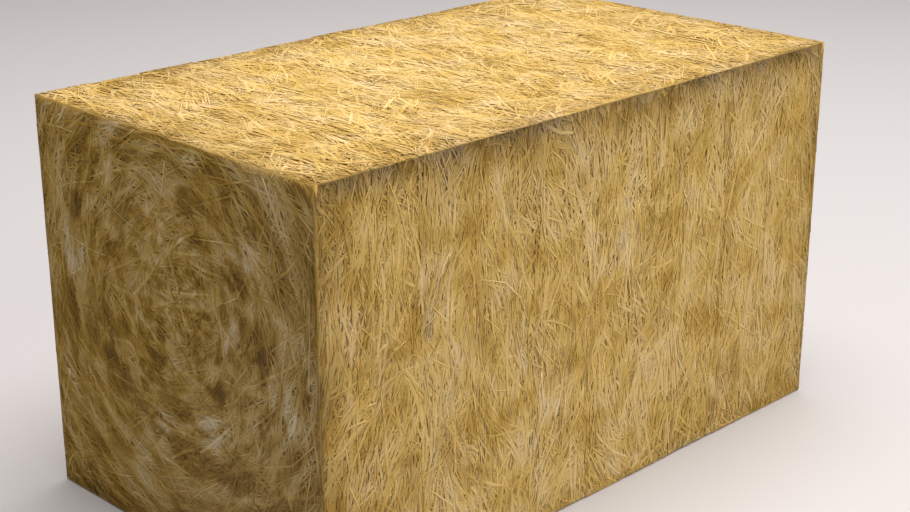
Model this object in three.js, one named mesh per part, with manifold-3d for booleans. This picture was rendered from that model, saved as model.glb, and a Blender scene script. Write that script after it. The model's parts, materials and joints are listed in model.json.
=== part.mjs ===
// A small square hay bale, standing on its bottom face.
// The baler's plunger packs the hay one charge at a time, and every charge stays a slab of its
// own, called a flake. The bale is a row of flakes that stand face to face along its length.
// Millimetres: X runs along the bale, Y across it and Z up. The origin is under its middle.
import * as THREE from "three";
import { mergeVertices } from "three/addons/utils/BufferGeometryUtils.js";
import Module from "manifold-3d";

const wasm = await Module();
wasm.setup();

// The bale's section is square, and its length is the section's side divided by 0.567.
const WIDTH = 457;
const HEIGHT = 457;
const LENGTH = 806;

// Where one flake meets the next, as shares of the length from the -X end.
const FLAKE_JOINTS = [0.086, 0.17, 0.26, 0.372, 0.481, 0.565, 0.668, 0.77, 0.871];
// How far each flake's sides and top fall short of the full section.
const FLAKE_SETBACKS = [0, 2, 0.5, 2.5, 1.5, 0, 1, 2.5, 0.5, 0];
const FLAKE_GAP = 0.4;
const CORNER_RADIUS = 9;
const CORNER_SEGMENTS = 1;
// A flake's rim falls back beside its neighbour, which leaves a shallow groove at each joint.
const RIM_DEPTH = 3.5;
const RIM_WIDTH = 8;
// Thin layers of hay make up a flake. Their edges show all round it, with creases between them.
const LAYER_WIDTH = 19;
const CREASE_DEPTH = 2;
const CREASE_WIDTH = 4.5;

// Stalks lie more than half sunk in the faces, deeper than the creases. Their backs stand proud.
const STALK_PROUD = [2.2, 3.4];
const STALK_SUNK = CREASE_DEPTH + 0.4;
const STALK_SIDES = 4;
const STALK_FLATTENING = 1.35;
const STALK_LENGTH = [50, 150];
const STALKS_ON_TOP = 5;
const STALKS_ON_SIDE = 5;
const STALKS_ON_END = 44;
// On the long faces the stalks lie across the bale, give or take this angle.
const STALK_SPREAD = THREE.MathUtils.degToRad(24);
// The thickest bar's half width, and what stays free between its flank and the flake's border.
const STALK_HALF_WIDTH = (STALK_PROUD[1] + STALK_SUNK) * STALK_FLATTENING;
const STALK_CLEARANCE = 5;
const STALK_MARGIN = STALK_HALF_WIDTH + STALK_CLEARANCE;
// The ends show the hay swept round, about a centre above the middle of the face.
const SWIRL_CENTRE = { across: 0.02, up: 0.62 };
const SWIRL_SPREAD = THREE.MathUtils.degToRad(24);
// Round the middle of each face a patch stays flat.
const BARE_PATCH = 34;

const SEED = 2207;

const hay = new THREE.MeshStandardMaterial({ color: 0xc9a662, roughness: 0.85, metalness: 0, flatShading: true });
const endHay = new THREE.MeshStandardMaterial({ color: 0x8c7043, roughness: 0.9, metalness: 0, flatShading: true });

// A linear congruential generator with the usual 32-bit constants.
const RANDOM_FACTOR = 1664525;
const RANDOM_STEP = 1013904223;
const RANDOM_RANGE = 2 ** 32;
let state = SEED;

// A repeatable random number from low to high.
function random(low = 0, high = 1) {
  state = (state * RANDOM_FACTOR + RANDOM_STEP) % RANDOM_RANGE;
  return low + (high - low) * (state / RANDOM_RANGE);
}

function toSolid(geometry) {
  const bare = geometry.clone();
  bare.deleteAttribute("normal");
  bare.deleteAttribute("uv");
  const merged = mergeVertices(bare, 1e-4);
  return new wasm.Manifold(
    new wasm.Mesh({
      numProp: 3,
      vertProperties: new Float32Array(merged.attributes.position.array),
      triVerts: new Uint32Array(merged.index.array),
    }),
  );
}

function toGeometry(solid) {
  const mesh = solid.getMesh();
  const geometry = new THREE.BufferGeometry();
  geometry.setAttribute("position", new THREE.BufferAttribute(mesh.vertProperties, 3));
  geometry.setIndex(new THREE.BufferAttribute(mesh.triVerts, 1));
  geometry.computeVertexNormals();
  return geometry;
}

// The flake's outline across the bale: a rectangle with round corners, flat on the ground.
function outline(setback) {
  const half = WIDTH / 2 - setback;
  const top = HEIGHT - setback;
  const inner = half - CORNER_RADIUS;
  const shape = new THREE.Shape();
  shape.absarc(inner, CORNER_RADIUS, CORNER_RADIUS, -Math.PI / 2, 0, false);
  shape.absarc(inner, top - CORNER_RADIUS, CORNER_RADIUS, 0, Math.PI / 2, false);
  shape.absarc(-inner, top - CORNER_RADIUS, CORNER_RADIUS, Math.PI / 2, Math.PI, false);
  shape.absarc(-inner, CORNER_RADIUS, CORNER_RADIUS, Math.PI, Math.PI * 1.5, false);
  return shape;
}

// The flake's profile along the bale: how far each ring of its surface lies under the full
// section, from one rim over the layers and the creases between them to the other rim.
function rings(from, to) {
  const first = from + RIM_WIDTH;
  const last = to - RIM_WIDTH;
  const layers = Math.max(1, Math.round((last - first) / LAYER_WIDTH));
  const made = [{ x: from, depth: RIM_DEPTH }, { x: first, depth: 0 }];
  for (let i = 1; i < layers; i++) {
    const x = first + ((last - first) * i) / layers;
    made.push({ x: x - CREASE_WIDTH / 2, depth: 0 });
    made.push({ x, depth: CREASE_DEPTH });
    made.push({ x: x + CREASE_WIDTH / 2, depth: 0 });
  }
  made.push({ x: last, depth: 0 }, { x: to, depth: RIM_DEPTH });
  return made;
}

// The layered slab between two joints: the outline is extruded in as many steps as there are
// rings, and each step's points then go to their ring. The outline's own X and Y become the
// bale's Y and Z.
function slab(from, to, setback) {
  const profile = rings(from, to);
  const steps = profile.length - 1;
  const geometry = new THREE.ExtrudeGeometry(outline(setback), {
    depth: steps,
    steps,
    curveSegments: CORNER_SEGMENTS,
    bevelEnabled: false,
  });
  const position = geometry.getAttribute("position");
  const middle = (HEIGHT - setback) / 2;
  for (let i = 0; i < position.count; i++) {
    const ring = profile[Math.round(position.getZ(i))];
    const shrink = 1 - ring.depth / middle;
    const y = position.getX(i) * shrink;
    const z = middle + (position.getY(i) - middle) * shrink;
    position.setXYZ(i, ring.x, y, z);
  }
  return geometry;
}

// One stalk: a four-sided bar along `along`, with one edge up as its back, sunk in the face that
// `out` points away from.
function stalk(centre, along, out, length) {
  const radius = random(...STALK_PROUD) + STALK_SUNK;
  const bar = new THREE.CylinderGeometry(radius, radius, length, STALK_SIDES, 1);
  bar.scale(STALK_FLATTENING, 1, 1);
  const side = new THREE.Vector3().crossVectors(along, out);
  const place = new THREE.Matrix4().makeBasis(side, along, out);
  place.setPosition(centre.clone().addScaledVector(out, -STALK_SUNK));
  return bar.applyMatrix4(place);
}

// How far a stalk can reach both ways from a spot before it would leave a half-width.
function reach(spot, slope, halfWidth) {
  return Math.abs(slope) < 1e-6 ? Infinity : (halfWidth - Math.abs(spot)) / Math.abs(slope);
}

// Stalks on a flat face of one flake. `face` gives its middle, its two directions, its outward
// direction and its half sizes; `angleAt` gives the way a stalk lies at a spot.
function stalksOnFace(face, count, angleAt) {
  const made = [];
  while (made.length < count) {
    const u = random(-face.halfU, face.halfU);
    const v = random(-face.halfV, face.halfV);
    const angle = angleAt(u, v);
    const slopeU = Math.cos(angle);
    const slopeV = Math.sin(angle);
    const room = 2 * Math.min(reach(u, slopeU, face.halfU), reach(v, slopeV, face.halfV));
    const length = Math.min(random(...STALK_LENGTH), room);
    const centre = face.middle.clone().addScaledVector(face.u, u).addScaledVector(face.v, v);
    const along = face.u.clone().multiplyScalar(slopeU).addScaledVector(face.v, slopeV);
    const toPatch = face.patch.clone().sub(centre);
    const nearest = THREE.MathUtils.clamp(toPatch.dot(along), -length / 2, length / 2);
    const clearance = toPatch.addScaledVector(along, -nearest).length();
    if (length >= STALK_LENGTH[0] && clearance > BARE_PATCH) {
      made.push(stalk(centre, along, face.out, length));
    }
  }
  return made;
}

const X = new THREE.Vector3(1, 0, 0);
const Y = new THREE.Vector3(0, 1, 0);
const Z = new THREE.Vector3(0, 0, 1);

// The two long sides and the top of a flake.
function longFaces(from, to, setback) {
  const middleX = (from + to) / 2;
  const halfU = (to - from) / 2 - STALK_MARGIN;
  const side = {
    u: X,
    v: Z,
    halfU,
    halfV: HEIGHT / 2 - CORNER_RADIUS - STALK_MARGIN,
    count: STALKS_ON_SIDE,
  };
  const sides = [-1, 1].map((sign) => ({
    ...side,
    out: Y.clone().multiplyScalar(sign),
    middle: new THREE.Vector3(middleX, sign * (WIDTH / 2 - setback), HEIGHT / 2),
    patch: new THREE.Vector3(0, (sign * WIDTH) / 2, HEIGHT / 2),
  }));
  const top = {
    u: X,
    v: Y,
    out: Z,
    halfU,
    halfV: WIDTH / 2 - CORNER_RADIUS - STALK_MARGIN,
    middle: new THREE.Vector3(middleX, 0, HEIGHT - setback),
    patch: new THREE.Vector3(0, 0, HEIGHT),
    count: STALKS_ON_TOP,
  };
  return [...sides, top];
}

// The broad face that shows at one end of the bale. Its stalks stay inside the rim.
function endFace(sign) {
  const inside = RIM_DEPTH + CORNER_RADIUS;
  return {
    u: Y,
    v: Z,
    out: X.clone().multiplyScalar(sign),
    halfU: WIDTH / 2 - inside,
    halfV: HEIGHT / 2 - inside,
    middle: new THREE.Vector3((sign * LENGTH) / 2, 0, HEIGHT / 2),
    patch: new THREE.Vector3((sign * LENGTH) / 2, 0, HEIGHT / 2),
  };
}

const acrossTheBale = () => Math.PI / 2 + random(-STALK_SPREAD, STALK_SPREAD);

function roundTheSwirl(u, v) {
  const fromCentre = Math.atan2(v - (SWIRL_CENTRE.up - 0.5) * HEIGHT, u - SWIRL_CENTRE.across * WIDTH);
  return fromCentre + Math.PI / 2 + random(-SWIRL_SPREAD, SWIRL_SPREAD);
}

function flake(index, from, to) {
  const setback = FLAKE_SETBACKS[index];
  const stalks = longFaces(from, to, setback).flatMap((face) => stalksOnFace(face, face.count, acrossTheBale));
  if (index === 0) stalks.push(...stalksOnFace(endFace(-1), STALKS_ON_END, roundTheSwirl));
  if (index === FLAKE_JOINTS.length) stalks.push(...stalksOnFace(endFace(1), STALKS_ON_END, roundTheSwirl));
  const solid = stalks.reduce((joined, one) => joined.add(toSolid(one)), toSolid(slab(from, to, setback)));
  const isEnd = index === 0 || index === FLAKE_JOINTS.length;
  const mesh = new THREE.Mesh(toGeometry(solid), isEnd ? endHay : hay);
  mesh.name = `flake_${String(index + 1).padStart(2, "0")}`;
  return mesh;
}

function bale() {
  const group = new THREE.Group();
  const limits = [0, ...FLAKE_JOINTS, 1].map((share) => (share - 0.5) * LENGTH);
  for (let i = 0; i <= FLAKE_JOINTS.length; i++) {
    const from = limits[i] + (i === 0 ? 0 : FLAKE_GAP / 2);
    const to = limits[i + 1] - (i === FLAKE_JOINTS.length ? 0 : FLAKE_GAP / 2);
    group.add(flake(i, from, to));
  }
  return group;
}

export default bale();
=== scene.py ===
# %% [markdown]
# # A square hay bale, straw by straw
#
# A small square bale is a row of pressed slabs of hay. The baler's plunger packs one charge of
# cut grass after another, and each charge stays a slab of its own, called a flake. What a person
# sees of it is thousands of single stalks and leaves, pressed flat and lying over each other.
#
# The CAD model holds the ten flakes as solids. This script dresses each of them: a packed core,
# a little under the surface, and over it a mat of real straws that Geometry Nodes lay down.
# Painting straws on a box would be quicker, but a painted box shows at its edges, where a bale
# has stalk ends, and it stays flat in a low light.

# %% The frame and its sizes
import json
import math

import bpy
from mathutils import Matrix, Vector


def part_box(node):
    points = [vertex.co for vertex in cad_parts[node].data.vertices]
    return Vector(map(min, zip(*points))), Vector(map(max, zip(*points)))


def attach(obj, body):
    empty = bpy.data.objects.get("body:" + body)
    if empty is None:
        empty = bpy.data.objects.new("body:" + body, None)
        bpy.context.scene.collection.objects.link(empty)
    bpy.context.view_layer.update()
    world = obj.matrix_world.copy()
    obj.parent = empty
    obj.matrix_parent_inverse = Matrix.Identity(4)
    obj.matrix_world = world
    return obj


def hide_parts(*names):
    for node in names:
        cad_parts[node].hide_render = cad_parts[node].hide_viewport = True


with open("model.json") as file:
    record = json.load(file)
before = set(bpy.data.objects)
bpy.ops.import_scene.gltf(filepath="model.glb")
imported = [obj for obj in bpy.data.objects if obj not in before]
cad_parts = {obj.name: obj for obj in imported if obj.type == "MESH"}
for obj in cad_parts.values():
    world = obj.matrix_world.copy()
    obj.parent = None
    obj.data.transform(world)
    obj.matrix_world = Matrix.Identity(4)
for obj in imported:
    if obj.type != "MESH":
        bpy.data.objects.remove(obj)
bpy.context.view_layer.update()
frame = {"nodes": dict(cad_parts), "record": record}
mounts = {mount["name"]: Vector(mount["pos_m"]) for mount in frame["record"]["mounts"]}
LENGTH = mounts["end_face_right"].x - mounts["end_face_left"].x
WIDTH = mounts["side_face_back"].y - mounts["side_face_front"].y
HEIGHT = mounts["stacking_face"].z
FLAKES = sorted(frame["nodes"])
print(f"{len(FLAKES)} flakes, {LENGTH:.3f} x {WIDTH:.3f} x {HEIGHT:.3f} m")

# %% [markdown]
# ## Where one flake ends
#
# Neighbouring flakes touch face to face. The joints are read from the boxes of the CAD nodes, so
# that the straws of each flake stay with it. The outer faces of the bale's two ends come from
# the mounts instead, because a box also takes in the stalks that stand proud of a face.

# %% The joints between flakes
MILLIMETRE = 0.001


def joint_after(left, right):
    """Where two neighbouring flakes meet, along the bale."""
    return (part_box(left)[1].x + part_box(right)[0].x) / 2


inner_joints = [joint_after(*pair) for pair in zip(FLAKES, FLAKES[1:])]
flake_limits = [-LENGTH / 2, *inner_joints, LENGTH / 2]
print("flake widths in mm:", [round((b - a) * 1000) for a, b in zip(flake_limits, flake_limits[1:])])

# %% [markdown]
# ## The camera
#
# The photograph looks down on one corner. The perspective of the box's corners gives the camera:
# a lens of 68 mm on a 36 mm sensor, 20 degrees above the horizon, square between the long side
# and the end. Its distance is given in bale lengths, so that it follows the bale's size.

# %% The camera
CAMERA_PLACE = Vector((-1.6712, -1.6755, 1.1423)) * LENGTH
CAMERA_AZIMUTH = math.radians(-45)
CAMERA_ELEVATION = math.radians(19.96)
LENS = 68.3
SENSOR = 36

camera_data = bpy.data.cameras.new("camera")
camera_data.lens = LENS
camera_data.sensor_width = SENSOR
camera = bpy.data.objects.new("camera", camera_data)
camera.location = CAMERA_PLACE
camera.rotation_euler = (math.pi / 2 - CAMERA_ELEVATION, 0, CAMERA_AZIMUTH)
bpy.context.scene.collection.objects.link(camera)
bpy.context.scene.camera = camera
print("camera at", [round(x, 3) for x in camera.location])

# %% [markdown]
# ## Light
#
# In the photograph the top is brightest, the long side about half as bright, and the end only a
# fifth, and no face shows hard shadows. Two large soft lights give that order: one overhead, and
# a weaker one square to the long side, which leaves the end to the grey sky. A light that grazed
# the side would give the same brightness, but it would draw every straw in black and white. The
# view transform is Standard, so that the colours of the materials arrive as they are.

# %% The lights
LIGHT_DISTANCE = 4.0
OVERHEAD = {
    "direction": (0.10, -0.08, 1.0),
    "size": 4.4,
    "power": 291,
    "colour": (1.0, 0.95, 0.99),
}
SIDE_FILL = {
    "direction": (0.38, -0.85, 0.42),
    "size": 3.0,
    "power": 48.5,
    "colour": (1.0, 0.982, 0.90),
}
SKY_COLOUR = (1.0, 0.98, 0.95)
SKY_STRENGTH = 0.238


def soft_light(name, direction, size, power, colour):
    """A round soft box that looks at the middle of the bale from that direction."""
    data = bpy.data.lights.new(name, "AREA")
    data.shape = "DISK"
    data.size = size
    data.energy = power
    data.color = colour
    light = bpy.data.objects.new(name, data)
    from_bale = Vector(direction).normalized()
    light.location = Vector((0, 0, HEIGHT / 2)) + from_bale * LIGHT_DISTANCE
    light.rotation_euler = from_bale.to_track_quat("Z", "Y").to_euler()
    bpy.context.scene.collection.objects.link(light)
    print(name, "at", [round(x, 2) for x in light.location])


soft_light("overhead", **OVERHEAD)
soft_light("side fill", **SIDE_FILL)

world = bpy.data.worlds.new("sky")
world.use_nodes = True
background = world.node_tree.nodes["Background"]
background.inputs["Color"].default_value = (*SKY_COLOUR, 1)
background.inputs["Strength"].default_value = SKY_STRENGTH
bpy.context.scene.world = world
bpy.context.scene.view_settings.view_transform = "Standard"

# %% [markdown]
# ## Writing node trees as expressions
#
# A node tree is a set of formulas, and it reads best when it is written as one. The class Socket
# wraps one output, and Python's operators on it add the Math nodes. The class Nodes adds any
# other node with one method: its kind, its settings, and then what its sockets get.


# %% Sockets with operators
class Socket:
    """One output of a node. An expression on it adds the Math nodes that work it out."""

    def __init__(self, nodes, socket):
        self.nodes = nodes
        self.socket = socket

    def __add__(self, other):
        return self.nodes.math("ADD", self, other)

    def __radd__(self, other):
        return self.nodes.math("ADD", other, self)

    def __sub__(self, other):
        return self.nodes.math("SUBTRACT", self, other)

    def __rsub__(self, other):
        return self.nodes.math("SUBTRACT", other, self)

    def __mul__(self, other):
        return self.nodes.math("MULTIPLY", self, other)

    def __rmul__(self, other):
        return self.nodes.math("MULTIPLY", other, self)

    def __truediv__(self, other):
        return self.nodes.math("DIVIDE", self, other)

    def __rtruediv__(self, other):
        return self.nodes.math("DIVIDE", other, self)

    def __pow__(self, other):
        return self.nodes.math("POWER", self, other)

    def __neg__(self):
        return self.nodes.math("MULTIPLY", self, -1)

    def __abs__(self):
        return self.nodes.math("ABSOLUTE", self)

    def __lt__(self, other):
        return self.nodes.math("LESS_THAN", self, other)

    def __gt__(self, other):
        return self.nodes.math("GREATER_THAN", self, other)


# %% One method for every node
class Nodes:
    """A node tree that is written in expressions. It works for materials and for geometry."""

    def __init__(self, tree):
        self.tree = tree

    def add(self, kind, settings=None, sockets=None, output=None):
        """Adds a node and returns one output: the named one, or else the first that is in use."""
        node = self.tree.nodes.new(kind)
        for name, value in (settings or {}).items():
            if name == "stops":
                self.set_stops(node.color_ramp, value)
            else:
                setattr(node, name, value)
        pairs = enumerate(sockets) if isinstance(sockets, list) else (sockets or {}).items()
        for name, value in pairs:
            self.give(self.find(node.inputs, name), value)
        return Socket(self, self.find(node.outputs, 0 if output is None else output))

    def find(self, sockets, name):
        """The socket of that name, or number, among those in use."""
        used = [socket for socket in sockets if socket.enabled]
        return used[name] if isinstance(name, int) else next(s for s in used if s.name == name)

    def give(self, socket, value):
        if isinstance(value, Socket):
            self.tree.links.new(value.socket, socket)
        elif value is not None:
            socket.default_value = value

    def set_stops(self, ramp, stops):
        """Gives a colour ramp its stops: pairs of a place from 0 to 1 and a colour."""
        while len(ramp.elements) < len(stops):
            ramp.elements.new(1.0)
        for element, (place, colour) in zip(ramp.elements, stops):
            element.position = place
            element.color = (*colour, 1)

    def math(self, operation, *values):
        return self.add("ShaderNodeMath", {"operation": operation}, list(values))

    def vector_math(self, operation, *values):
        return self.add("ShaderNodeVectorMath", {"operation": operation}, list(values))

    def vector(self, x, y, z):
        return self.add("ShaderNodeCombineXYZ", None, {"X": x, "Y": y, "Z": z})

    def split(self, vector):
        """The three numbers of a vector."""
        x = self.add("ShaderNodeSeparateXYZ", None, {"Vector": vector}, "X")
        node = x.socket.node
        return x, Socket(self, node.outputs["Y"]), Socket(self, node.outputs["Z"])

    def smooth(self, value, low, high, at_low=0.0, at_high=1.0):
        """A soft step: at_low under low, at_high over high."""
        return self.add(
            "ShaderNodeMapRange",
            {"interpolation_type": "SMOOTHSTEP"},
            {"Value": value, "From Min": low, "From Max": high, "To Min": at_low, "To Max": at_high},
        )

    def noise(self, place, size, detail=1.0, distortion=0.0):
        """Soft noise from 0 to 1 whose lumps are about size metres wide. A vector of sizes
        makes them longer one way."""
        sizes = size if isinstance(size, tuple) else (size, size, size)
        scaled = self.vector_math("DIVIDE", place, sizes)
        return self.add(
            "ShaderNodeTexNoise",
            None,
            {"Vector": scaled, "Scale": 1.0, "Detail": detail, "Distortion": distortion},
        )


# %% [markdown]
# ## Geometry Nodes as a tool with named inputs
#
# A geometry tree is a small machine with dials. It is built once, its sizes are inputs with
# names, and then it runs on each flake with that flake's own values. Several runs on one object
# make a stack: each adds its straws to what the ones before it made.

# %% Trees with named inputs
SOCKET_KINDS = {
    bool: "NodeSocketBool",
    int: "NodeSocketInt",
    float: "NodeSocketFloat",
    tuple: "NodeSocketVector",
    type(None): "NodeSocketMaterial",
}


class GeometryNodes(Nodes):
    """A geometry tree, with three short forms for what only such trees have."""

    def random(self, low, high, seed):
        return self.add(
            "FunctionNodeRandomValue", {"data_type": "FLOAT"}, {"Min": low, "Max": high, "Seed": seed}
        )

    def store(self, geometry, name, value, kind="FLOAT_VECTOR"):
        return self.add(
            "GeometryNodeStoreNamedAttribute",
            {"data_type": kind, "domain": "POINT"},
            {"Geometry": geometry, "Name": name, "Value": value},
        )

    def read(self, name):
        vector = self.add("GeometryNodeInputNamedAttribute", {"data_type": "FLOAT_VECTOR"}, {"Name": name})
        return self.split(vector)


def new_group(name, inputs):
    """A geometry tree with these inputs, as its nodes and its inputs by name."""
    tree = bpy.data.node_groups.new(name, "GeometryNodeTree")
    tree.interface.new_socket("Geometry", in_out="INPUT", socket_type="NodeSocketGeometry")
    tree.interface.new_socket("Geometry", in_out="OUTPUT", socket_type="NodeSocketGeometry")
    for label, default in inputs.items():
        socket = tree.interface.new_socket(label, in_out="INPUT", socket_type=SOCKET_KINDS[type(default)])
        if default is not None:
            socket.default_value = default
    nodes = GeometryNodes(tree)
    source = tree.nodes.new("NodeGroupInput")
    return nodes, {label: Socket(nodes, source.outputs[label]) for label in ["Geometry", *inputs]}


def close_group(nodes, given, made):
    """Ends a geometry tree: what it made joins what it got."""
    both = nodes.add("GeometryNodeJoinGeometry", None, {"Geometry": made})
    nodes.give(both.socket.node.inputs["Geometry"], given["Geometry"])
    sink = nodes.tree.nodes.new("NodeGroupOutput")
    nodes.give(sink.inputs["Geometry"], both)
    return nodes.tree


def run_trees(name, runs):
    """A plain mesh object that these trees made, one after the other."""
    maker = bpy.data.objects.new(name, bpy.data.meshes.new(name))
    bpy.context.scene.collection.objects.link(maker)
    for tree, values in runs:
        modifier = maker.modifiers.new(tree.name, "NODES")
        modifier.node_group = tree
        labels = {s.name: s.identifier for s in tree.interface.items_tree if s.in_out == "INPUT"}
        for label, value in values.items():
            modifier[labels[label]] = value
    graph = bpy.context.evaluated_depsgraph_get()
    made = maker.evaluated_get(graph)
    mesh = bpy.data.meshes.new_from_object(made, preserve_all_data_layers=True, depsgraph=graph)
    maker.modifiers.clear()
    old = maker.data
    maker.data = mesh
    bpy.data.meshes.remove(old)
    mesh.name = name
    mesh.calc_loop_triangles()
    print(name, len(mesh.loop_triangles), "triangles")
    return maker


# %% [markdown]
# ## The six faces as flat sheets
#
# A straw is easiest to lay on a flat sheet, where u and v run over the face and h stands out of
# it. Each face of the bale is such a sheet: its middle, the ways that u and v run, and how far.
# A straw that would pass the edge of its sheet is held back softly, so the bale keeps the
# straight edges that the baler's chamber gave it, and no two straws end in the same place.

# %% The faces
FACE_TRIM = 0.8 * MILLIMETRE


def face(middle, u_way, v_way, u_size, v_size):
    """A face of the bale as a sheet. It looks along the cross product of its two ways."""
    return {
        "Middle": middle,
        "U Way": u_way,
        "V Way": v_way,
        "Out": tuple(Vector(u_way).cross(Vector(v_way))),
        "Low U": FACE_TRIM - u_size / 2,
        "High U": u_size / 2 - FACE_TRIM,
        "Low V": FACE_TRIM - v_size / 2,
        "High V": v_size / 2 - FACE_TRIM,
    }


FRONT = face((0.0, -WIDTH / 2, HEIGHT / 2), (1.0, 0.0, 0.0), (0.0, 0.0, 1.0), LENGTH, HEIGHT)
BACK = face((0.0, WIDTH / 2, HEIGHT / 2), (1.0, 0.0, 0.0), (0.0, 0.0, -1.0), LENGTH, HEIGHT)
TOP = face((0.0, 0.0, HEIGHT), (1.0, 0.0, 0.0), (0.0, 1.0, 0.0), LENGTH, WIDTH)
BOTTOM = face((0.0, 0.0, 0.0), (1.0, 0.0, 0.0), (0.0, -1.0, 0.0), LENGTH, WIDTH)
LEFT_END = face((-LENGTH / 2, 0.0, HEIGHT / 2), (0.0, -1.0, 0.0), (0.0, 0.0, 1.0), WIDTH, HEIGHT)
RIGHT_END = face((LENGTH / 2, 0.0, HEIGHT / 2), (0.0, 1.0, 0.0), (0.0, 0.0, 1.0), WIDTH, HEIGHT)
print("straws lie up to", round(FRONT["High U"], 4), "m from the middle of a long side")

# %% [markdown]
# ## How straws lie on a sheet
#
# On the long sides most straws stand upright, as the plunger pressed them, but at wide angles to
# each other, and on the top they lie at any angle. On an end they lie in a loose swirl, because
# the plunger pushed the hay round. Neighbours share a part of their direction, which gives wisps,
# and the rest is their own.
#
# Tone works the same way: soft noise, stretched along the straws, gives clumps of one tone, and
# each straw then differs a little from its clump.

# %% The swirl of an end
SWIRL_ACROSS = 0.02 * WIDTH
SWIRL_UP = 0.12 * HEIGHT
SWIRL_RADIUS = 120 * MILLIMETRE


def swirl(nodes, u, v):
    """Distance and direction from the middle of the swirl."""
    across, up = u - SWIRL_ACROSS, v - SWIRL_UP
    return nodes.math("SQRT", across * across + up * up), nodes.math("ARCTAN2", up, across)


def wound(nodes, u, v, across, along):
    """A place for noise whose lumps are across wide and along long, wound round the swirl."""
    distance, direction = swirl(nodes, u, v)
    turn = SWIRL_RADIUS / along
    cosine, sine = nodes.math("COSINE", direction), nodes.math("SINE", direction)
    return nodes.vector(distance / across, cosine * turn, sine * turn)


# %% One face inside a geometry tree
SQUEEZE = 3 * MILLIMETRE
RIM_WIDTH = 8 * MILLIMETRE
WAVE_SIZE = 90 * MILLIMETRE
WAVE_HEIGHT = 2 * MILLIMETRE
FLOOR_GAP = 0.2 * MILLIMETRE
FLOW_SIZE = 65 * MILLIMETRE
SHARED_TURN = 3.0
OWN_TURN = 0.35
STRAY_TURN = 0.7
CLUMP_STEP = (0.3, 0.7)
CLUMPS_APART = 30
PATCH_SIZE = 80 * MILLIMETRE
PATCH_SHIFT = (3.1, 1.7, 5.3)
WEAR_SIZE = 50 * MILLIMETRE
WEAR_STEP = (0.48, 0.72)
LEAST_SLOPE = 0.01


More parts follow.
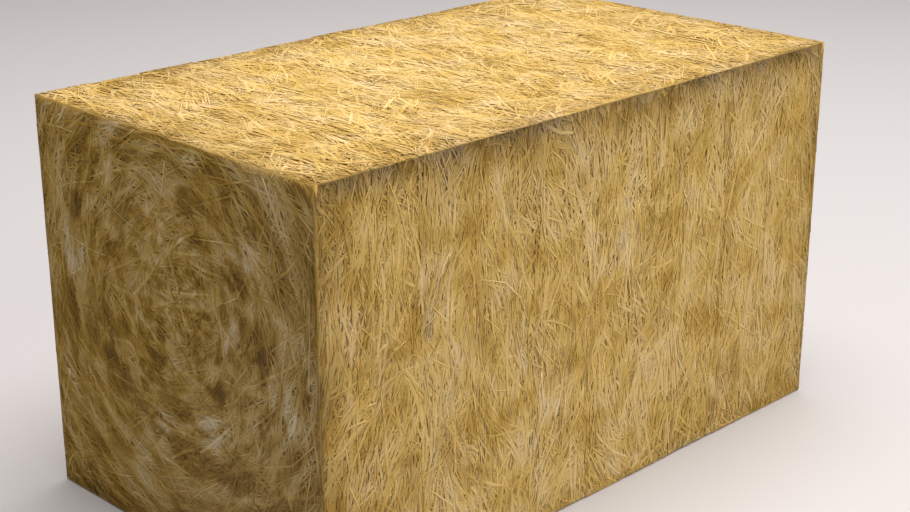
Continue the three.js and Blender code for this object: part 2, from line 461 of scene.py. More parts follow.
class Sheet:
    """One face of the bale. Swirl is 1 on an end and 0 elsewhere."""

    inputs = {
        "Middle": (0.0, 0.0, 0.0),
        "U Way": (1.0, 0.0, 0.0),
        "V Way": (0.0, 1.0, 0.0),
        "Out": (0.0, 0.0, 1.0),
        "Low U": -0.1,
        "High U": 0.1,
        "Low V": -0.1,
        "High V": 0.1,
        "Setback": 0.0,
        "Dip Low U": 0.0,
        "Dip High U": 0.0,
        "Dip V": 0.0,
        "Swirl": 0.0,
        "Spread": 0.5,
        "Clump Across": 0.016,
        "Clump Along": 0.085,
    }

    def __init__(self, nodes, given):
        self.nodes = nodes
        self.given = given

    def flat(self, u, v):
        """The place on the bale of u and v, on the face itself."""
        nodes, given = self.nodes, self.given
        across = nodes.vector_math("SCALE", given["U Way"], u)
        along = nodes.vector_math("SCALE", given["V Way"], v)
        return nodes.vector_math("ADD", given["Middle"], nodes.vector_math("ADD", across, along))

    def way(self, u, v):
        """The angle at which a straw lies there, from the way of u."""
        nodes, given = self.nodes, self.given
        _, direction = swirl(nodes, u, v)
        shared = nodes.noise(self.flat(u, v), FLOW_SIZE, detail=1.0) - 0.5
        own = nodes.random(-1.0, 1.0, given["Seed"] + 2)
        loose = shared * SHARED_TURN + own * OWN_TURN + own * own * own * STRAY_TURN
        return math.pi / 2 + given["Swirl"] * direction + given["Spread"] * loose

    def clump(self, u, v):
        """The tone of the clump there, from 0 to 1."""
        nodes, given = self.nodes, self.given
        across, along, turned = given["Clump Across"], given["Clump Along"], given["Swirl"]
        x, y, z = nodes.split(given["Middle"])
        straight = nodes.vector_math("SCALE", nodes.vector(u / across, v / along, 0), 1 - turned)
        round_it = nodes.vector_math("SCALE", wound(nodes, u, v, across, along), turned)
        apart = nodes.vector_math("SCALE", nodes.vector(x, y, z), CLUMPS_APART)
        place = nodes.vector_math("ADD", nodes.vector_math("ADD", straight, round_it), apart)
        return nodes.smooth(nodes.noise(place, 1.0, detail=2.0), *CLUMP_STEP)

    def patch(self, u, v):
        """How much paler or darker the hay is there, in wide patches."""
        shifted = self.nodes.vector_math("ADD", self.flat(u, v), PATCH_SHIFT)
        return self.nodes.noise(shifted, PATCH_SIZE, detail=2.0) - 0.5

    def wear(self, u, v):
        """How weathered a straw is there."""
        lot = self.nodes.random(0.0, 1.0, self.given["Seed"] + 3)
        return self.nodes.smooth(self.nodes.noise(self.flat(u, v), WEAR_SIZE, detail=3.0), *WEAR_STEP) * lot

    def room(self, u, v, slope_u, slope_v):
        """How far a straw can reach both ways before it passes the edge of its sheet."""
        nodes, given = self.nodes, self.given
        room_u = nodes.math("MINIMUM", u - given["Low U"], given["High U"] - u)
        room_v = nodes.math("MINIMUM", v - given["Low V"], given["High V"] - v)
        reach_u = room_u / nodes.math("MAXIMUM", abs(slope_u), LEAST_SLOPE)
        reach_v = room_v / nodes.math("MAXIMUM", abs(slope_v), LEAST_SLOPE)
        return nodes.math("MINIMUM", reach_u, reach_v) + SQUEEZE

    def held(self, value, low, high):
        """The value, squeezed softly where it comes near low or high."""
        nodes = self.nodes
        over = nodes.math("MAXIMUM", value - high + SQUEEZE, 0.0)
        under = nodes.math("MAXIMUM", low + SQUEEZE - value, 0.0)
        return value - over * over / (over + SQUEEZE) + under * under / (under + SQUEEZE)

    def place(self, u, v, h):
        """The place on the bale of a point at u, v and h over the sheet."""
        nodes, given = self.nodes, self.given
        u = self.held(u, given["Low U"], given["High U"])
        v = self.held(v, given["Low V"], given["High V"])
        dip = nodes.smooth(u - given["Low U"], 0.0, RIM_WIDTH, given["Dip Low U"], 0.0)
        dip = dip + nodes.smooth(given["High U"] - u, 0.0, RIM_WIDTH, given["Dip High U"], 0.0)
        dip = dip + nodes.smooth(v - given["Low V"], 0.0, RIM_WIDTH, given["Dip V"], 0.0)
        dip = dip + nodes.smooth(given["High V"] - v, 0.0, RIM_WIDTH, given["Dip V"], 0.0)
        flat = self.flat(u, v)
        wave = (nodes.noise(flat, WAVE_SIZE) - 0.5) * WAVE_HEIGHT
        out = nodes.vector_math("SCALE", given["Out"], h + wave - dip - given["Setback"])
        x, y, z = nodes.split(nodes.vector_math("ADD", flat, out))
        return nodes.vector(x, y, nodes.math("MAXIMUM", z, FLOOR_GAP))


# %% [markdown]
# ## One straw, many times
#
# Tens of thousands of straws have to stay cheap, so one straw is a prism with three sides: a
# flat back, and a ridge that looks outwards. A culm is a stout one with smooth shading, a leaf is
# wide and thin and runs out to a point, and chaff is short. The tree scatters points, writes each
# straw's own values on them as attributes, puts the same prism on every point and realizes the
# copies. Then one formula moves every vertex: it stretches, tapers, rolls and bends its straw by
# the values that the vertex carries, and the sheet places it.
#
# The attributes tint, worn, depth and grain stay on the mesh for the material: how pale and how
# weathered the straw is, how far under the surface a vertex lies, and where it is across and
# along its own straw.

# %% What a straw is given
STRAW_INPUTS = {
    "Count": 100,
    "Segments": 3,
    "Smooth": True,
    "Shortest": 0.05,
    "Longest": 0.15,
    "Narrowest": 0.003,
    "Widest": 0.005,
    "Flatness": 0.8,
    "Tip": 0.9,
    "Foot": 0.9,
    "Deepest": 0.006,
    "Proudest": 0.002,
    "Roll": 0.4,
    "Curl": 2.0,
    "Kink": 0.0,
    "Twist": 0.0,
    "Tilt": 0.006,
    "Tone": 0.0,
    "Seed": 0,
    "Material": None,
}
CARRIED = ("middle", "lie", "size", "bends")
ROOM_USED = (1.7, 2.0)
OWN_TONE = 0.18
CLUMP_TONE = 0.30
PATCH_TONE = 0.7


def scattered(nodes, given, sheet):
    """Points that carry what makes each straw its own."""
    seed = given["Seed"]
    u = nodes.random(given["Low U"], given["High U"], seed)
    v = nodes.random(given["Low V"], given["High V"], seed + 1)
    angle = sheet.way(u, v)
    slope_u, slope_v = nodes.math("COSINE", angle), nodes.math("SINE", angle)
    room = sheet.room(u, v, slope_u, slope_v) * nodes.random(*ROOM_USED, seed + 4)
    length = nodes.math("MINIMUM", nodes.random(given["Shortest"], given["Longest"], seed + 5), room)
    width = nodes.random(given["Narrowest"], given["Widest"], seed + 6)
    lift = nodes.random(-given["Deepest"], given["Proudest"], seed + 7)
    curl = nodes.random(-given["Curl"], given["Curl"], seed + 8)
    roll = nodes.random(-given["Roll"], given["Roll"], seed + 9)
    tilt = nodes.random(-given["Tilt"], given["Tilt"], seed + 10)
    kink = nodes.random(-1.0, 1.0, seed + 11)
    twist = nodes.random(-given["Twist"], given["Twist"], seed + 12)
    own = nodes.random(-0.5, 0.5, seed + 13)
    tint = 0.5 + own * OWN_TONE + (sheet.clump(u, v) - 0.5) * CLUMP_TONE
    tint = tint + sheet.patch(u, v) * PATCH_TONE + given["Tone"]
    points = nodes.add("GeometryNodePoints", None, {"Count": given["Count"]})
    points = nodes.store(points, "middle", nodes.vector(u, v, lift))
    points = nodes.store(points, "lie", nodes.vector(angle, curl, kink * kink * kink * given["Kink"]))
    points = nodes.store(points, "size", nodes.vector(length, width, width * given["Flatness"]))
    points = nodes.store(points, "bends", nodes.vector(roll, twist, tilt))
    points = nodes.store(points, "tint", tint, "FLOAT")
    return nodes.store(points, "worn", sheet.wear(u, v), "FLOAT")


# %% The tree that lays straws
RUFFLE_SIZE = 45 * MILLIMETRE
RUFFLE = 5 * MILLIMETRE
TAPER_POWER = 2.5
STRAW_SIDES = 3


def bent_straw(nodes, given):
    """The place u, v, h of a vertex of a straw, and its grain, from the plain prism."""
    up, side, along = nodes.split(nodes.add("GeometryNodeInputPosition"))
    u0, v0, lift = nodes.read("middle")
    angle, curl, kink = nodes.read("lie")
    length, width, thickness = nodes.read("size")
    roll, twist, tilt = nodes.read("bends")
    end_share = given["Foot"] + (given["Tip"] - given["Foot"]) * (along > 0)
    girth = 1 - (1 - end_share) * (abs(along) * 2) ** TAPER_POWER
    wide, thick = side * width * girth, up * thickness * girth
    turn = roll + twist * along
    cosine, sine = nodes.math("COSINE", turn), nodes.math("SINE", turn)
    run = along * length
    sideways = wide * cosine - thick * sine + curl * run * run + kink * abs(run)
    height = lift + wide * sine + thick * cosine + tilt * run
    slope_u, slope_v = nodes.math("COSINE", angle), nodes.math("SINE", angle)
    u = u0 + slope_u * run - slope_v * sideways
    v = v0 + slope_v * run + slope_u * sideways
    ruffle_u = (nodes.noise(nodes.vector(u, v, 0), RUFFLE_SIZE) - 0.5) * RUFFLE
    ruffle_v = (nodes.noise(nodes.vector(u, v, 1), RUFFLE_SIZE) - 0.5) * RUFFLE
    return u + ruffle_u, v + ruffle_v, height, nodes.vector(side, run, up)


def straw_tree():
    """A geometry tree that adds straws of one kind to the geometry that it gets."""
    nodes, given = new_group("straws", {**STRAW_INPUTS, **Sheet.inputs})
    sheet = Sheet(nodes, given)
    straw = nodes.add(
        "GeometryNodeMeshCylinder",
        {"fill_type": "NGON"},
        {"Vertices": STRAW_SIDES, "Side Segments": given["Segments"], "Radius": 0.5, "Depth": 1.0},
    )
    points = scattered(nodes, given, sheet)
    copies = nodes.add("GeometryNodeInstanceOnPoints", None, {"Points": points, "Instance": straw})
    straws = nodes.add("GeometryNodeRealizeInstances", None, {"Geometry": copies})
    u, v, height, grain = bent_straw(nodes, given)
    straws = nodes.store(straws, "grain", grain)
    straws = nodes.store(straws, "depth", height, "FLOAT")
    straws = nodes.add(
        "GeometryNodeSetPosition", None, {"Geometry": straws, "Position": sheet.place(u, v, height)}
    )
    for name in CARRIED:
        straws = nodes.add("GeometryNodeRemoveAttribute", None, {"Geometry": straws, "Name": name})
    straws = nodes.add(
        "GeometryNodeSetShadeSmooth", None, {"Geometry": straws, "Shade Smooth": given["Smooth"]}
    )
    straws = nodes.add("GeometryNodeSetMaterial", None, {"Geometry": straws, "Material": given["Material"]})
    return close_group(nodes, given, straws)


lay_straws = straw_tree()
print("the tree that lays straws has", len(lay_straws.nodes), "nodes")

# %% [markdown]
# ## The packed core
#
# Between the top straws one looks down on more straws, and not into a hollow. So each flake has
# a closed core just under the surface: a block of small squares, pushed about by noise so that
# its faces are lumpy. A plain box would do in the dark of the chinks, but not where light falls
# in.

# %% The tree that makes a core
CORE_STEP = 18 * MILLIMETRE
CORE_LUMPS = 1.2 * MILLIMETRE
LUMP_SIZE = 22 * MILLIMETRE


def core_tree():
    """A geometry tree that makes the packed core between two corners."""
    inputs = {"Low": (0.0, 0.0, 0.0), "High": (1.0, 1.0, 1.0), "Material": None}
    nodes, given = new_group("packed core", inputs)
    size = nodes.vector_math("SUBTRACT", given["High"], given["Low"])
    middle = nodes.vector_math("SCALE", nodes.vector_math("ADD", given["High"], given["Low"]), 0.5)
    counts = [nodes.math("MAXIMUM", side / CORE_STEP, 1.0) + 1 for side in nodes.split(size)]
    block_inputs = dict(zip(("Size", "Vertices X", "Vertices Y", "Vertices Z"), [size, *counts]))
    block = nodes.add("GeometryNodeMeshCube", None, block_inputs)
    here = nodes.vector_math("ADD", nodes.add("GeometryNodeInputPosition"), middle)
    scaled = nodes.vector_math("SCALE", here, 1 / LUMP_SIZE)
    lumps = nodes.add("ShaderNodeTexNoise", None, {"Vector": scaled, "Scale": 1.0, "Detail": 1.0}, "Color")
    moved = nodes.vector_math("SUBTRACT", lumps, nodes.vector(0.5, 0.5, 0.5))
    place = nodes.vector_math("ADD", here, nodes.vector_math("SCALE", moved, CORE_LUMPS))
    core = nodes.add("GeometryNodeSetPosition", None, {"Geometry": block, "Position": place})
    core = nodes.add("GeometryNodeSetShadeSmooth", None, {"Geometry": core})
    core = nodes.add("GeometryNodeRealizeInstances", None, {"Geometry": core})
    core = nodes.add("GeometryNodeSetMaterial", None, {"Geometry": core, "Material": given["Material"]})
    return close_group(nodes, given, core)


packed_core = core_tree()
print("the tree that makes a core has", len(packed_core.nodes), "nodes")

# %% [markdown]
# ## What straw looks like
#
# Dry hay runs from dark brown through tan and gold to a pale cream, and each stalk has a tone of
# its own. Along a stalk run fine ribs, and stalks deeper in the mat are darker by painted shade,
# which stands in for the shadow of the straws over them. The tone comes from the attribute tint.
# The ribs follow the attribute grain, so they run along every straw whichever way it lies. Where a
# straw is weathered, its colour is duller. Dry hay is thin enough for some light to pass through,
# which softens the shadow between two straws.

# %% Tones and the parts of a material
GOLDEN = [
    (0.00, (0.43, 0.252, 0.046)),
    (0.20, (0.55, 0.337, 0.072)),
    (0.42, (0.67, 0.439, 0.120)),
    (0.66, (0.745, 0.510, 0.174)),
    (0.88, (0.785, 0.556, 0.243)),
    (1.00, (0.81, 0.584, 0.303)),
]
# Tones of the ends: browner and greyer than golden straw, and also darker as painted shade.
WEATHERED_AND_SHADED = [
    (0.00, (0.17, 0.089, 0.010)),
    (0.20, (0.28, 0.155, 0.018)),
    (0.45, (0.450, 0.275, 0.047)),
    (0.70, (0.56, 0.372, 0.112)),
    (0.90, (0.64, 0.462, 0.190)),
    (1.00, (0.71, 0.550, 0.290)),
]
FADED_SATURATION = 0.78
STRAW_ROUGHNESS = 0.72
STRAW_GLOSS = 0.12
LIT_THROUGH = 0.26
LIT_DEPTH = 1.2 * MILLIMETRE
RIB_SIZES = (0.16, 30 * MILLIMETRE, 0.3)
RIB_BUMP = 0.06 * MILLIMETRE
RIB_TONE = 0.16
RIB_ROUGHNESS = 0.2
RIBS_APART = (40, 7)
DEEPEST = 0.6 * MILLIMETRE
PROUDEST = 0.3 * MILLIMETRE


def new_material(name):
    """A material with only its Principled shader and output, as its Nodes and the shader."""
    material = bpy.data.materials.new(name)
    material.use_nodes = True
    shader = material.node_tree.nodes["Principled BSDF"]
    return material, Nodes(material.node_tree), shader


def attribute(nodes, name, output="Fac"):
    return nodes.add("ShaderNodeAttribute", {"attribute_name": name}, None, output)


def mix_colours(nodes, factor, first, second, blend="MIX"):
    return nodes.add(
        "ShaderNodeMix",
        {"data_type": "RGBA", "blend_type": blend},
        {"Factor": factor, "A": first, "B": second},
    )


def grey(nodes, value):
    return nodes.add("ShaderNodeCombineColor", None, [value, value, value])


# %% [markdown]
# ## Blotches of the long faces
#
# Damp and sun colour a bale by place, whichever straw lies there. So these tones come from the
# place on the bale. They could be given to the straws as they are laid, but a straw is up to
# 160 mm long and would carry its tone across every blotch. In the material they stay where they
# belong: soft blotches everywhere, calmer on the top, and a grey tinge of painted shade under the
# top edge of the sides. A step says where a soft step starts and ends, and its two values where
# they aren't 0 and 1.

# %% Blotches of the long faces
BLOTCH_SIZES = (42 * MILLIMETRE, 40 * MILLIMETRE, 42 * MILLIMETRE)
BLOTCH_TONE = 0.60
BLOTCH_STEP = (0.22, 0.78)
BLOTCH_DETAIL = 1.5
BLOTCH_BEND = 0.4
TOP_BLOTCHES = 0.75
# A grey tinge of painted shade under the top edge of the long sides, in spots.
GREY_SHADE_BAND = 30 * MILLIMETRE
GREY_SPOT_SIZE = 40 * MILLIMETRE
GREY_SPOT_STEP = (0.5, 0.65)
CORNER_STEP = 1.5 * MILLIMETRE


def on_long_side(nodes, y, z):
    """1 on the two long sides and 0 on the top, with a soft step at their edge."""
    nearer_side = (HEIGHT - z) - (WIDTH / 2 - abs(y))
    return nodes.smooth(nearer_side, -CORNER_STEP, CORNER_STEP)


def long_blotches(nodes, place):
    """Blotches of the long faces, from 0 for dark to 1 for pale, and how grey the painted shade under the
    top edge makes it.
    """
    _, y, z = nodes.split(place)
    side = on_long_side(nodes, y, z)
    # Painted shade: a grey band under the top edge of the sides.
    band = nodes.smooth(HEIGHT - z, 0.0, GREY_SHADE_BAND, 1.0, 0.0) * side
    grey_spots = nodes.smooth(nodes.noise(place, GREY_SPOT_SIZE, detail=2.0), *GREY_SPOT_STEP)
    lumps = nodes.noise(place, BLOTCH_SIZES, BLOTCH_DETAIL, BLOTCH_BEND)
    blotches = nodes.smooth(lumps, *BLOTCH_STEP)
    strength = TOP_BLOTCHES + (1 - TOP_BLOTCHES) * side
    return 0.5 + (blotches - 0.5) * strength, band * grey_spots


# %% [markdown]
# ## Wisps and painted pit shadows of the ends
#
# On an end the blotches follow the swirl. There is also a greyer lower right, a few pale wisps
# and some dark spots of painted shadow where pits would be. Noise would put them anywhere, so they
# have their places here, as shares of the width and the height from the top left, and only their
# outline is left to noise.

# %% Wisps and painted pit shadows of the ends
END_BLOTCH_ACROSS = 20 * MILLIMETRE
END_BLOTCH_ALONG = 34 * MILLIMETRE
END_BLOTCH_STEP = (0.29, 0.73)
PALE_WISPS = [
    (0.11, 0.34),
    (0.71, 0.40),
    (0.90, 0.54),
    (0.36, 0.80),
    (0.78, 0.19),
    (0.45, 0.69),
    (0.63, 0.66),
]
WISP_RADIUS = 36 * MILLIMETRE
WISP_TONE = 0.8
STREAK_ACROSS = 7 * MILLIMETRE
STREAK_ALONG = 45 * MILLIMETRE
STREAK_STEP = (0.40, 0.60, 0.3, 1.0)
# Dark spots of painted shadow, standing in for pits.
PIT_SHADOWS = [
    (0.26, 0.58),
    (0.43, 0.55),
    (0.65, 0.56),
    (0.76, 0.26),
    (0.16, 0.26),
    (0.82, 0.45),
]
PIT_RADIUS = 20 * MILLIMETRE
PIT_SHADOW_TONE = 0.6
SPOT_SQUEEZE = 0.45
SPOT_BEND = 36 * MILLIMETRE
SPOT_BEND_SIZE = 22 * MILLIMETRE
GREY_ZONE = (-0.10 * WIDTH, 0.45 * WIDTH)
GREY_ZONE_SLOPE = 0.6
GREY_ZONE_SHARE = 0.4


def spots(nodes, u, v, places, radius):
    """Soft upright spots at these shares of the width and the height of an end."""
    found = 0.0
    for across, down in places:
        side, up = u - (across - 0.5) * WIDTH, v - (0.5 - down) * HEIGHT
        distance = nodes.math("SQRT", side * side + up * up * SPOT_SQUEEZE)
        found = nodes.math("MAXIMUM", nodes.smooth(distance, 0.0, radius, 1.0, 0.0), found)
    return found


def end_blotches(nodes, place):
    """Blotches of an end, wound round its swirl, with painted pit shadows, and how grey it is in the pale
    wisps.
    """
    _, y, z = nodes.split(place)
    u, v = -y, z - HEIGHT / 2
    wound_place = wound(nodes, u, v, END_BLOTCH_ACROSS, END_BLOTCH_ALONG)
    lumps = nodes.noise(wound_place, 1.0, detail=2.0, distortion=BLOTCH_BEND)
    blotches = nodes.smooth(lumps, *END_BLOTCH_STEP)
    bent_u = u + (nodes.noise(place, SPOT_BEND_SIZE, detail=2.0) - 0.5) * SPOT_BEND
    bent_v = v + (nodes.noise(wound_place, 1.0, detail=2.0) - 0.5) * SPOT_BEND
    streak_place = wound(nodes, u, v, STREAK_ACROSS, STREAK_ALONG)
    streaks = nodes.smooth(nodes.noise(streak_place, 1.0, detail=1.0), *STREAK_STEP)
    pale = spots(nodes, bent_u, bent_v, PALE_WISPS, WISP_RADIUS) * streaks
    # Painted shadow in spots where pits would be.
    dark = spots(nodes, bent_u, bent_v, PIT_SHADOWS, PIT_RADIUS)
    zone = nodes.smooth(bent_u - bent_v * GREY_ZONE_SLOPE, *GREY_ZONE) * GREY_ZONE_SHARE
    return blotches + pale * WISP_TONE - dark * PIT_SHADOW_TONE, nodes.math("MAXIMUM", pale * WISP_TONE, zone)


# %% [markdown]
# ## Painted shade along the edges
#
# Painted shade darkens the hay along the edges of the long faces, in patches. The band of painted
# shade under the top edge of the sides is darkest, and a thin line of painted shade runs down each
# upright edge. Each shade falls off by an exponential of the distance to its edge, so it has no
# border of its own.

# %% Painted shade along the edges
# Painted shade along the edges of the long faces: its tone, strength, fade and patches.
EDGE_SHADE_TONE = (0.50, 0.46, 0.38)
EDGE_SHADE = 0.92
EDGE_FADE = 40 * MILLIMETRE
EDGE_PATCH_SIZE = 60 * MILLIMETRE
EDGE_PATCH_STEP = (0.3, 0.7, 0.35, 1.0)
# Painted shade under the top edge of the long sides.
BAND_SHADE_TONE = (0.18, 0.165, 0.13)
BAND_FADE = 13 * MILLIMETRE
# A thin line of painted shade down the upright edges.
CORNER_SHADE_TONE = (0.24, 0.22, 0.22)
CORNER_FADE = 2.5 * MILLIMETRE


def with_edge_shade(nodes, place, colour):
    """The colour with painted shade along the edges of the long faces, darkest under the top edge."""
    x, y, z = nodes.split(place)
    to_end, to_side, to_top = LENGTH / 2 - abs(x), WIDTH / 2 - abs(y), HEIGHT - z
    nearer, farther = nodes.math("MINIMUM", to_end, to_side), nodes.math("MAXIMUM", to_end, to_side)
    to_edge = nodes.math("MAXIMUM", nearer, nodes.math("MINIMUM", farther, to_top))
    uneven = nodes.smooth(nodes.noise(place, EDGE_PATCH_SIZE, detail=1.0), *EDGE_PATCH_STEP)
    edge = nodes.math("EXPONENT", nodes.math("MAXIMUM", to_edge, 0.0) / -EDGE_FADE) * EDGE_SHADE * uneven
    under_top = nodes.math("EXPONENT", nodes.math("MAXIMUM", to_top, 0.0) / -BAND_FADE)
    band = under_top * on_long_side(nodes, y, z)
    shaded = mix_colours(nodes, edge, colour, (*EDGE_SHADE_TONE, 1), "MULTIPLY")
    return mix_colours(nodes, band, shaded, (*BAND_SHADE_TONE, 1), "MULTIPLY")


def with_corner_shade(nodes, place, colour):
    """The colour with a thin line of painted shade down the four upright edges."""
    x, y, _ = nodes.split(place)
    to_corner = nodes.math("MAXIMUM", LENGTH / 2 - abs(x), WIDTH / 2 - abs(y))
    line = nodes.math("EXPONENT", nodes.math("MAXIMUM", to_corner, 0.0) / -CORNER_FADE)
    return mix_colours(nodes, line, colour, (*CORNER_SHADE_TONE, 1), "MULTIPLY")


# %% [markdown]
# ## The straws' own colour
#
# The golden straws and the weathered ones, which are also darker as a painted shade of the ends,
# differ only in their tones and blotches, so one function makes both materials. A straw's tone is
# its tint, a little paler or darker at each rib and blotch, and a ramp turns that one number into a
# colour, so no straw leaves the range of real hay. Wear then dulls the colour, painted shade darkens
# it with depth in the mat, and painted shade along the edges of the bale darkens it last.

# %% The straw material
# How dark the painted shade makes the deepest straws, in place of the shadow of straws over them.
GOLDEN_DEEP_SHADE = 0.95
WEATHERED_DEEP_SHADE = 0.85


def straw_material(name, stops, deep_shade, blotches, edge_shade):
    """Straws in the tones of the stops, with painted shade that darkens them where they lie deepest."""
    material, nodes, shader = new_material(name)
    tint = attribute(nodes, "tint")
    grain = attribute(nodes, "grain", "Vector")
    place = nodes.add("ShaderNodeTexCoord", None, None, "Object")
    apart = nodes.vector(tint * RIBS_APART[0], tint * RIBS_APART[1], 0)
    own_place = nodes.vector_math("ADD", grain, apart)
    ribs = nodes.noise(own_place, RIB_SIZES, detail=3.0)
    blotch, faded = blotches(nodes, place)
    tone = tint + (ribs - 0.5) * RIB_TONE + (blotch - 0.5) * BLOTCH_TONE
    colour = nodes.add("ShaderNodeValToRGB", {"stops": stops}, {"Fac": tone})
    dull = nodes.add("ShaderNodeHueSaturation", None, {"Saturation": FADED_SATURATION, "Color": colour})
    worn = mix_colours(nodes, nodes.math("MAXIMUM", attribute(nodes, "worn"), faded), colour, dull)
    # Painted shade: the deeper a straw lies in the mat, the darker its colour.
    shade = nodes.smooth(attribute(nodes, "depth"), -DEEPEST, PROUDEST / 2, deep_shade, 1.0)
    shaded = mix_colours(nodes, 1.0, worn, grey(nodes, shade), "MULTIPLY")
    # Painted shade along the edges of the bale, then a thin line of it down the upright edges.
    if edge_shade:
        shaded = with_edge_shade(nodes, place, shaded)
    nodes.give(shader.inputs["Base Color"], with_corner_shade(nodes, place, shaded))
    nodes.give(shader.inputs["Roughness"], STRAW_ROUGHNESS + (ribs - 0.5) * RIB_ROUGHNESS)
    shader.inputs["Specular IOR Level"].default_value = STRAW_GLOSS
    shader.inputs["Subsurface Weight"].default_value = LIT_THROUGH
    shader.inputs["Subsurface Radius"].default_value = (1.0, 1.0, 1.0)
    shader.inputs["Subsurface Scale"].default_value = LIT_DEPTH
    bump = nodes.add(
        "ShaderNodeBump", None, {"Strength": 1.0, "Distance": RIB_BUMP, "Height": ribs}, "Normal"
    )
    nodes.give(shader.inputs["Normal"], bump)
    return material


golden_straw = straw_material("golden straw", GOLDEN, GOLDEN_DEEP_SHADE, long_blotches, True)
weathered_shaded_straw = straw_material(
    "weathered and shaded straw", WEATHERED_AND_SHADED, WEATHERED_DEEP_SHADE, end_blotches, False
)
for material in (golden_straw, weathered_shaded_straw):
    print(material.name, "has", len(material.node_tree.nodes), "nodes")

# %% [markdown]
# ## The hay between the straws
#
# The core shows only in chinks, as the next layer down: the same tones in streaks, darkened by a
# painted shade on the ends. Stretched noise on Object coordinates is enough for that.

# %% The core material
STREAK_SIZES = (5 * MILLIMETRE, 45 * MILLIMETRE, 45 * MILLIMETRE)
CORE_TONES = (0.25, 0.75, 0.3, 0.8)
CORE_ROUGHNESS = 0.75
CORE_UNEVEN = 0.2
CORE_GLOSS = 0.2
# Painted shade of the core under the straws; 1.0 leaves its tones as they are.
GOLDEN_CORE_SHADE = 1.0
WEATHERED_CORE_SHADE = 0.85


def core_material(name, stops, shade, edge_shade):
    """Packed hay in the tones of the stops, all darker by shade, a painted shade for lying under the
    straws.
    """
    material, nodes, shader = new_material(name)
    place = nodes.add("ShaderNodeTexCoord", None, None, "Object")
    streaks = nodes.noise(place, STREAK_SIZES, detail=4.0)
    # Painted shade: the core's tones are darkened for lying under the straws.
    darker = [(at, tuple(channel * shade for channel in colour)) for at, colour in stops]
    tone = nodes.smooth(streaks, *CORE_TONES)
    colour = nodes.add("ShaderNodeValToRGB", {"stops": darker}, {"Fac": tone})
    # Painted shade along the edges, as on the straws.
    if edge_shade:
        colour = with_edge_shade(nodes, place, colour)
    nodes.give(shader.inputs["Base Color"], colour)
    nodes.give(shader.inputs["Roughness"], CORE_ROUGHNESS + streaks * CORE_UNEVEN)
    shader.inputs["Specular IOR Level"].default_value = CORE_GLOSS
    bump = nodes.add(
        "ShaderNodeBump", None, {"Strength": 1.0, "Distance": MILLIMETRE, "Height": streaks}, "Normal"
    )
    nodes.give(shader.inputs["Normal"], bump)
    return material


golden_core = core_material("packed hay", GOLDEN, GOLDEN_CORE_SHADE, True)
weathered_shaded_core = core_material("packed weathered and shaded hay", WEATHERED_AND_SHADED, WEATHERED_CORE_SHADE, False)
print("core materials:", golden_core.name, "and", weathered_shaded_core.name)

# %% [markdown]
# ## The kinds of straw
#
# Hay is a mix. Culms are the stems, pressed flat in the bale. Blades are leaves and split stems,
# wide and thin, with a fold along the middle that a flat shading shows. Chaff is what breaks off.
# Each kind is the same tree with other values.

# %% Culms, blades and chaff
LAYERS = {"Deepest": DEEPEST, "Proudest": PROUDEST}
CULM = {
    **LAYERS,
    "Segments": 3,
    "Smooth": True,
    "Shortest": 0.050,
    "Longest": 0.160,
    "Narrowest": 0.0015,
    "Widest": 0.0030,
    "Flatness": 0.17,
    "Tip": 0.8,
    "Foot": 0.95,
    "Roll": 0.11,
    "Curl": 1.8,
    "Kink": 0.5,
}
BLADE = {
    **LAYERS,
    "Segments": 3,
    "Smooth": False,
    "Shortest": 0.040,
    "Longest": 0.130,
    "Narrowest": 0.0022,
    "Widest": 0.0050,
    "Flatness": 0.06,
    "Tip": 0.12,
    "Foot": 0.7,
    "Roll": 0.08,
    "Curl": 3.0,
    "Kink": 0.4,
    "Twist": 0.16,
}
CHAFF = {
    **LAYERS,
    "Segments": 1,
    "Smooth": False,
    "Shortest": 0.010,
    "Longest": 0.030,
    "Narrowest": 0.0010,
    "Widest": 0.0022,
    "Flatness": 0.15,
    "Tip": 0.3,
    "Foot": 0.8,
    "Roll": 0.15,
    "Tilt": 0.02,
}
# How many of each kind lie on a square metre.
DENSITIES = [(CULM, 10000), (BLADE, 10000), (CHAFF, 11000)]
SEEDS_PER_KIND = 40
print(sum(density for _, density in DENSITIES), "straws on a square metre")


def area(sheet):
    return (sheet["High U"] - sheet["Low U"]) * (sheet["High V"] - sheet["Low V"])


def laid_on(sheet, seed, share=1.0):
    """One run of the tree for each kind of straw, with this share of the usual density."""
    runs = []
    for number, (kind, density) in enumerate(DENSITIES):
        count = round(area(sheet) * density * share)
        runs.append((lay_straws, {**kind, **sheet, "Count": count, "Seed": seed + SEEDS_PER_KIND * number}))
    return runs


# %% [markdown]
# ## Dressing the flakes
#
# Each flake is one piece: its core, and its part of the four long faces. The piece replaces the
# flake's CAD node. At a joint the surface dips a little and the straws reach over it, and at the
# two ends of the bale they stop at the edge. The bottom, which lies on the ground, gets fewer.

# %% The ten flakes
JOINT_DIP = 1.6 * MILLIMETRE
EDGE_DIP = 1.0 * MILLIMETRE
JOINT_GAP = 0.2 * MILLIMETRE
OVERLAP = 5 * MILLIMETRE
CORE_DEPTH = 1.2 * MILLIMETRE
MAT_THICKNESS = 5 * MILLIMETRE
FLOOR_SETBACK = 3 * MILLIMETRE
BOTTOM_SHARE = 0.4
SEEDS_PER_FLAKE = 1000
SEEDS_PER_FACE = 200
SETBACKS = [0.0, 1.2, 0.3, 1.5, 0.8, 0.0, 0.6, 1.3, 0.4, 0.0]
TONES = [-0.04, -0.02, 0.02, -0.02, 0.02, 0.03, 0.0, 0.02, -0.02, 0.0]
SIDE_LIE = {"Spread": math.radians(55), "Clump Across": 0.024, "Clump Along": 0.038}
TOP_LIE = {"Spread": math.radians(80), "Clump Across": 0.034, "Clump Along": 0.030}


def core_between(start, end, setback, material):
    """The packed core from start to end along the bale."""
    under = CORE_DEPTH + setback
    return {
        "Low": (start, under - WIDTH / 2, under),
        "High": (end, WIDTH / 2 - under, HEIGHT - under),
        "Material": material,
    }


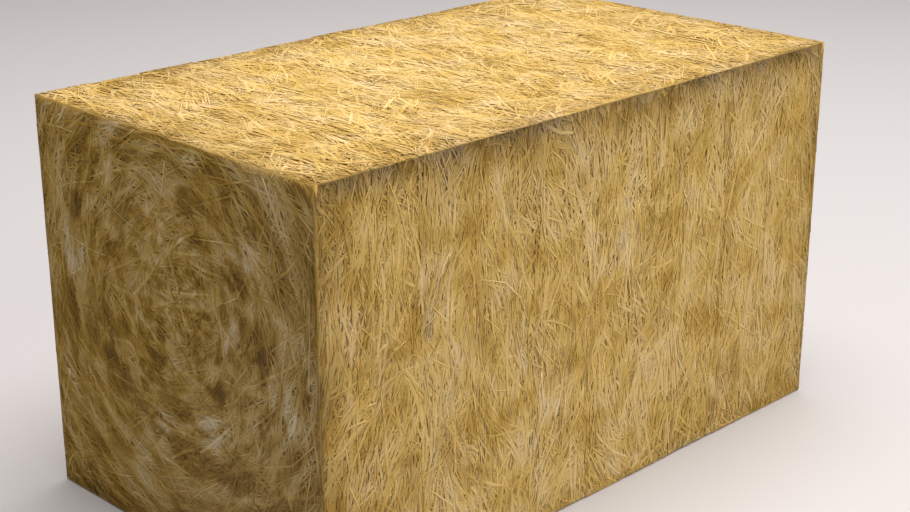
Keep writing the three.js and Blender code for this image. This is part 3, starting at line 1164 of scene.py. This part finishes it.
def dress_flake(index, name):
    """One flake as a piece: its core, and the straws of its four long faces."""
    first, last = index == 0, index == len(FLAKES) - 1
    start, end = flake_limits[index : index + 2]
    setback = SETBACKS[index] * MILLIMETRE
    core_start = start + (CORE_DEPTH + MAT_THICKNESS if first else JOINT_GAP)
    core_end = end - (CORE_DEPTH + MAT_THICKNESS if last else JOINT_GAP)
    runs = [(packed_core, core_between(core_start, core_end, setback, golden_core))]
    own = {
        "Low U": start + FACE_TRIM if first else start - OVERLAP,
        "High U": end - FACE_TRIM if last else end + OVERLAP,
        "Dip Low U": EDGE_DIP if first else JOINT_DIP,
        "Dip High U": EDGE_DIP if last else JOINT_DIP,
        "Dip V": EDGE_DIP,
        "Setback": setback,
        "Tone": TONES[index],
        "Material": golden_straw,
    }
    seed = SEEDS_PER_FLAKE * (index + 1)
    runs += laid_on({**FRONT, **own, **SIDE_LIE}, seed)
    runs += laid_on({**TOP, **own, **TOP_LIE}, seed + SEEDS_PER_FACE)
    runs += laid_on({**BACK, **own, **SIDE_LIE}, seed + 2 * SEEDS_PER_FACE)
    bottom = {**BOTTOM, **own, **TOP_LIE, "Setback": FLOOR_SETBACK}
    runs += laid_on(bottom, seed + 3 * SEEDS_PER_FACE, BOTTOM_SHARE)
    piece = run_trees(name + "_hay", runs)
    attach(piece, "root")
    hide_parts(name)
    return piece


flakes = [dress_flake(index, name) for index, name in enumerate(FLAKES)]

# %% [markdown]
# ## Dressing the ends
#
# The end mats are pieces of their own, in weathered tones that are also darker as painted shade:
# a thin slab of packed hay, and the swirl of straws on it.

# %% The two ends
END_LIE = {
    "Swirl": 1.0,
    "Spread": math.radians(62),
    "Clump Across": 0.018,
    "Clump Along": 0.045,
    "Dip Low U": EDGE_DIP,
    "Dip High U": EDGE_DIP,
    "Dip V": EDGE_DIP,
}
LEFT_SEED = 50000
RIGHT_SEED = 60000


def dress_end(name, sheet, side, seed):
    """The mat of an end, as a piece: a thin packed slab and the straws on it."""
    outer, inner = LENGTH / 2 - CORE_DEPTH, LENGTH / 2 - CORE_DEPTH - MAT_THICKNESS
    start, end = sorted((side * inner, side * outer))
    slab = core_between(start, end, 0.0, weathered_shaded_core)
    straws = laid_on({**sheet, **END_LIE, "Material": weathered_shaded_straw}, seed)
    piece = run_trees(name, [(packed_core, slab), *straws])
    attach(piece, "root")
    return piece


ends = [
    dress_end("end_mat_left", LEFT_END, -1, LEFT_SEED),
    dress_end("end_mat_right", RIGHT_END, 1, RIGHT_SEED),
]
total = sum(len(piece.data.loop_triangles) for piece in [*flakes, *ends])
print(total, "triangles in all")

# %% [markdown]
# ## The floor
#
# A plain pale floor, large enough to fill the picture.

# %% The floor
FLOOR_SIZE = 40.0
FLOOR_COLOUR = (0.52, 0.51, 0.49)
FLOOR_ROUGHNESS = 0.9

bpy.ops.mesh.primitive_plane_add(size=FLOOR_SIZE)
floor = bpy.context.object
floor.name = "floor"
floor_material, _, floor_shader = new_material("pale floor")
floor_shader.inputs["Base Color"].default_value = (*FLOOR_COLOUR, 1)
floor_shader.inputs["Roughness"].default_value = FLOOR_ROUGHNESS
floor.data.materials.append(floor_material)
